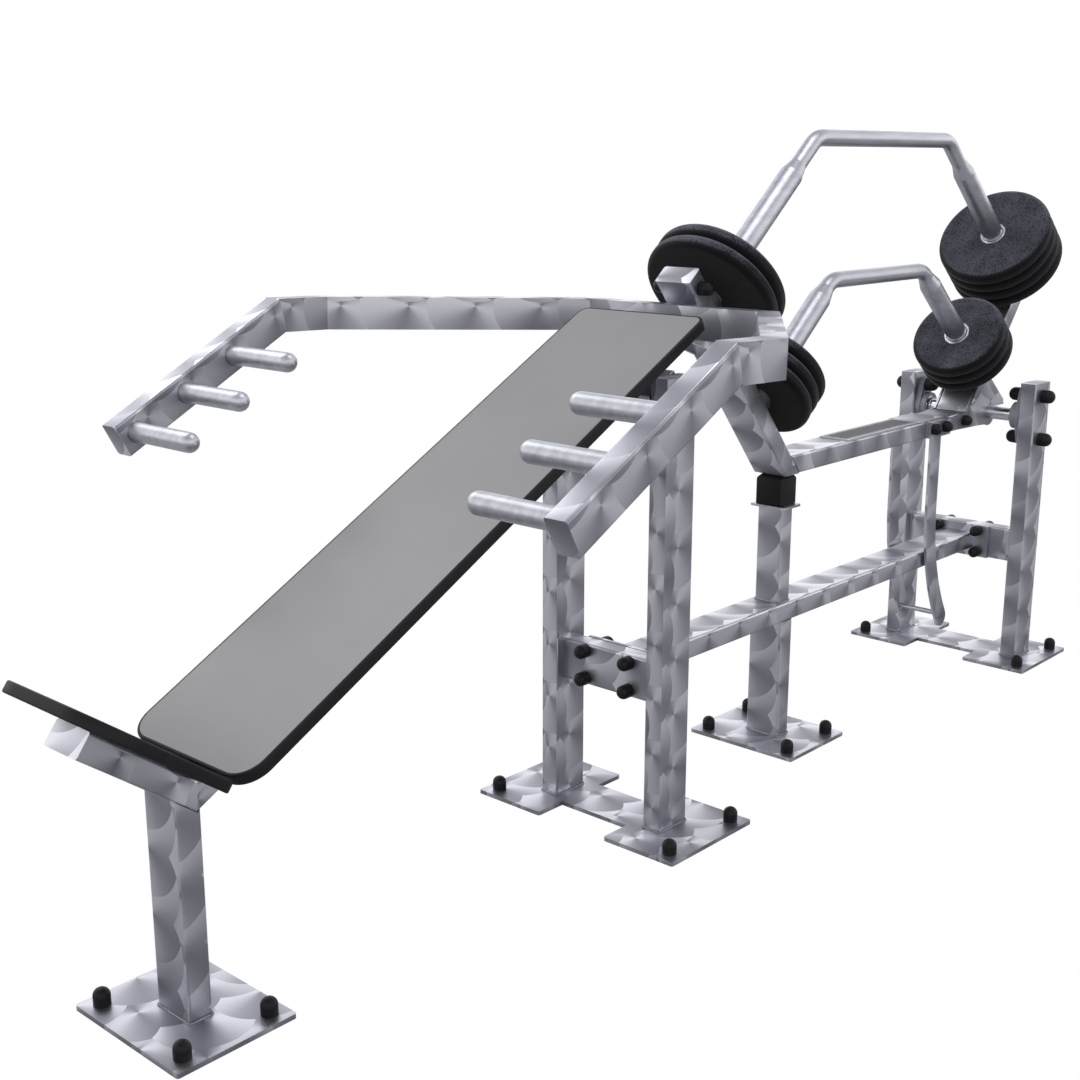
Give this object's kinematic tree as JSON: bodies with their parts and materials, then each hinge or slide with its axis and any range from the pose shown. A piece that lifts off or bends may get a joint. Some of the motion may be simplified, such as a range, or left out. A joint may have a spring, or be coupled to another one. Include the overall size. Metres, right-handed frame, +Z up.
{
  "type": "olympic bench press",
  "caption": "Outdoor bench press with an inclined backrest, a pivoted lever frame with inward grips, and weight discs that slide on two bent hoops.",
  "frame": {"origin": "on the floor under the centre of the seat base plate", "axes": "+X along the bench from the seat to the rear columns, +Y to the left of a person lying on it, +Z up"},
  "size_m": [2.7999, 1.036, 1.2659],
  "materials": {
    "swirled_steel": "stainless steel, rotary ground in overlapping fans",
    "grip_steel": "stainless steel, polished along the bar",
    "nameplate_steel": "stainless plate, brushed, blank",
    "compact_laminate": "high pressure compact laminate, grey satin faces, black core edges",
    "disc_rubber": "moulded rubber granulate, matt",
    "buffer_rubber": "moulded rubber, satin",
    "cap_plastic": "moulded polyethylene cap",
    "bearing_cast_iron": "painted grey casting",
    "bearing_steel": "ground steel",
    "zinc_fasteners": "zinc plated"
  },
  "bodies": {
    "bench_frame": {"seat_base_plate": "swirled_steel", "seat_post": "swirled_steel", "seat_beam": "swirled_steel", "seat_board": "compact_laminate", "backrest_beam": "swirled_steel", "backrest_board": "compact_laminate", "board_screws": "zinc_fasteners", "front_base_plate": "swirled_steel", "front_column_left": "swirled_steel", "front_column_right": "swirled_steel", "front_crossbar": "swirled_steel", "backrest_crossbar": "swirled_steel", "lower_beam": "swirled_steel", "middle_base_plate": "swirled_steel", "middle_lower_post": "swirled_steel", "middle_upper_post": "swirled_steel", "rubber_buffer": "buffer_rubber", "rear_base_plate": "swirled_steel", "rear_column_left": "swirled_steel", "rear_column_right": "swirled_steel", "rear_crossbar": "swirled_steel", "bearing_housings": "bearing_cast_iron", "bearing_inserts": "bearing_steel", "frame_bolts": "zinc_fasteners", "frame_bolt_caps": "cap_plastic", "anchor_nuts": "zinc_fasteners", "anchor_caps": "cap_plastic"},
    "lever_frame": {"pivot_shaft": "bearing_steel", "pivot_hub": "swirled_steel", "lever_beam": "swirled_steel", "nameplate": "nameplate_steel", "front_leg": "swirled_steel", "rear_mast": "swirled_steel", "gusset_plates": "swirled_steel", "outer_hoop": "swirled_steel", "inner_hoop": "swirled_steel", "spindle_sleeves": "swirled_steel", "stop_collars": "swirled_steel", "handle_arm_left": "swirled_steel", "handle_arm_right": "swirled_steel", "handle_yoke": "swirled_steel", "yoke_brackets": "swirled_steel", "hand_grips": "grip_steel", "stirrup_bars": "swirled_steel", "stirrup_rod": "grip_steel", "stirrup_packers": "swirled_steel", "lever_bolts": "zinc_fasteners", "lever_bolt_caps": "cap_plastic"},
    "outer_front_disc_1": {"outer_front_disc_1": "disc_rubber"},
    "outer_front_disc_2": {"outer_front_disc_2": "disc_rubber"},
    "outer_rear_disc_1": {"outer_rear_disc_1": "disc_rubber"},
    "outer_rear_disc_2": {"outer_rear_disc_2": "disc_rubber"},
    "outer_rear_disc_3": {"outer_rear_disc_3": "disc_rubber"},
    "outer_rear_disc_4": {"outer_rear_disc_4": "disc_rubber"},
    "inner_front_disc_1": {"inner_front_disc_1": "disc_rubber"},
    "inner_front_disc_2": {"inner_front_disc_2": "disc_rubber"},
    "inner_front_disc_3": {"inner_front_disc_3": "disc_rubber"},
    "inner_rear_disc_1": {"inner_rear_disc_1": "disc_rubber"},
    "inner_rear_disc_2": {"inner_rear_disc_2": "disc_rubber"},
    "inner_rear_disc_3": {"inner_rear_disc_3": "disc_rubber"}
  },
  "joints": [
    {"name": "lever_pivot", "type": "hinge", "parent": "bench_frame", "child": "lever_frame", "pos_m": [2.356, 0, 0.605], "axis": [0, 1, 0], "range_deg": [0, 23]},
    {"name": "outer_front_disc_1_slide", "type": "slide", "parent": "lever_frame", "child": "outer_front_disc_1", "axis": [0.766, 0, 0.6428], "range_m": [0, 0.142]},
    {"name": "outer_front_disc_2_slide", "type": "slide", "parent": "outer_front_disc_1", "child": "outer_front_disc_2", "axis": [0.766, 0, 0.6428], "range_m": [0, 0.142]},
    {"name": "outer_rear_disc_1_slide", "type": "slide", "parent": "lever_frame", "child": "outer_rear_disc_1", "axis": [-0.766, 0, 0.6428], "range_m": [0, 0.056]},
    {"name": "outer_rear_disc_2_slide", "type": "slide", "parent": "outer_rear_disc_1", "child": "outer_rear_disc_2", "axis": [-0.766, 0, 0.6428], "range_m": [0, 0.056]},
    {"name": "outer_rear_disc_3_slide", "type": "slide", "parent": "outer_rear_disc_2", "child": "outer_rear_disc_3", "axis": [-0.766, 0, 0.6428], "range_m": [0, 0.056]},
    {"name": "outer_rear_disc_4_slide", "type": "slide", "parent": "outer_rear_disc_3", "child": "outer_rear_disc_4", "axis": [-0.766, 0, 0.6428], "range_m": [0, 0.056]},
    {"name": "inner_front_disc_1_slide", "type": "slide", "parent": "lever_frame", "child": "inner_front_disc_1", "axis": [0.766, 0, 0.6428], "range_m": [0, 0.063]},
    {"name": "inner_front_disc_2_slide", "type": "slide", "parent": "inner_front_disc_1", "child": "inner_front_disc_2", "axis": [0.766, 0, 0.6428], "range_m": [0, 0.063]},
    {"name": "inner_front_disc_3_slide", "type": "slide", "parent": "inner_front_disc_2", "child": "inner_front_disc_3", "axis": [0.766, 0, 0.6428], "range_m": [0, 0.063]},
    {"name": "inner_rear_disc_1_slide", "type": "slide", "parent": "lever_frame", "child": "inner_rear_disc_1", "axis": [-0.766, 0, 0.6428], "range_m": [0, 0.063]},
    {"name": "inner_rear_disc_2_slide", "type": "slide", "parent": "inner_rear_disc_1", "child": "inner_rear_disc_2", "axis": [-0.766, 0, 0.6428], "range_m": [0, 0.063]},
    {"name": "inner_rear_disc_3_slide", "type": "slide", "parent": "inner_rear_disc_2", "child": "inner_rear_disc_3", "axis": [-0.766, 0, 0.6428], "range_m": [0, 0.063]}
  ]
}
